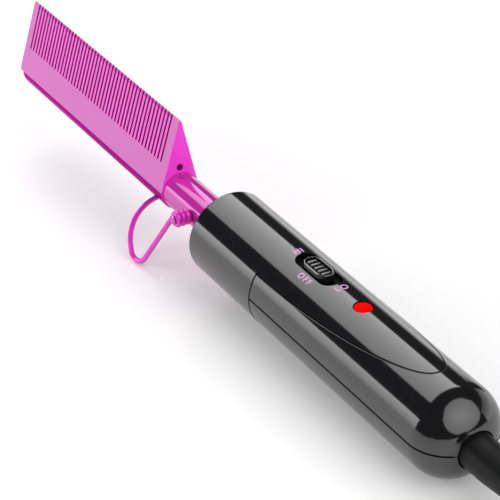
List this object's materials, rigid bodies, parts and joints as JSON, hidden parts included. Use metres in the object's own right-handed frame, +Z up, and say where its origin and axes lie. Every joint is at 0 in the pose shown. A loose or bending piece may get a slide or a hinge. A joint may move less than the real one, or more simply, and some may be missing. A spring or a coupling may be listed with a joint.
{
  "type": "electric hot comb",
  "caption": "Electric hot comb: slotted metal comb head on a tube neck, folding wire rest, round plastic handle with slide switch, pilot lamp and swivelling cord.",
  "frame": {"origin": "middle of the comb's length and width, on the surface it rests on, without the cord beyond its boot", "axes": "+X from the comb head to the cord, +Y across the comb, +Z up"},
  "size_m": [0.503, 0.0558, 0.0575],
  "materials": {
    "magenta_anodised": "satin anodised",
    "magenta_tube": "polished, magenta lacquer",
    "magenta_wire": "glossy magenta lacquer over steel wire",
    "black_shell": "glossy black",
    "black_knob": "glossy black",
    "red_lens": "translucent red",
    "heat_bush": "heat-proof phenolic",
    "pale_insulator": "pale insulating plastic",
    "ceramic": "fired ceramic",
    "mica": "mica paper",
    "resistance_wire": "dull grey alloy",
    "screw_steel": "zinc plated",
    "spring_brass": "bright",
    "board": "green laminate",
    "dark_component": "moulded epoxy",
    "tan_component": "lacquered",
    "lamp_glass": "clear glass",
    "lead_sleeve": "braided glass sleeve",
    "supply_insulation": "satin",
    "contact_phenolic": "brown phenolic",
    "cord_rubber": "matte black",
    "blade_brass": "nickelled"
  },
  "bodies": {
    "handle": {"comb_head": "magenta_anodised", "heater_core": "ceramic", "heater_winding": "resistance_wire", "heater_sleeve": "mica", "neck_tube": "magenta_tube", "nose_bush": "heat_bush", "tube_clamp": "pale_insulator", "clamp_screw": "screw_steel", "stand_rivets": "magenta_tube", "nose_cover": "black_shell", "upper_shell": "black_shell", "lower_shell": "black_shell", "case_screws": "screw_steel", "switch_frame": "dark_component", "switch_pins": "spring_brass", "lamp_lens": "red_lens", "lamp_bulb": "lamp_glass", "control_board": "board", "rectifier": "dark_component", "resistor": "tan_component", "thermal_fuse": "ceramic", "heater_leads": "lead_sleeve", "supply_wires": "supply_insulation", "swivel_bearing": "pale_insulator", "contact_block": "contact_phenolic", "contact_leaves": "spring_brass", "power_cord": "cord_rubber", "cord_hank": "cord_rubber", "cord_tie": "black_knob", "plug_body": "cord_rubber", "plug_blades": "blade_brass"},
    "stand": {"stand_wire": "magenta_wire"},
    "switch": {"switch_knob": "black_knob", "switch_carrier": "pale_insulator"},
    "swivel": {"swivel_rotor": "dark_component", "slip_rings": "spring_brass", "cord_boot": "cord_rubber"}
  },
  "joints": [
    {"name": "stand_fold", "type": "hinge", "parent": "handle", "child": "stand", "pos_m": [-0.0303, 0, 0.02401], "axis": [0, -1, 0], "range_deg": [0, 95]},
    {"name": "knob_slide", "type": "slide", "parent": "handle", "child": "switch", "axis": [0.9988, 0, -0.0489], "range_m": [-0.0038, 0.0038]},
    {"name": "cord_swivel", "type": "hinge", "parent": "handle", "child": "swivel", "pos_m": [0.11069, 0, 0.01622], "axis": [0.9988, 0, -0.0489], "continuous": true}
  ]
}
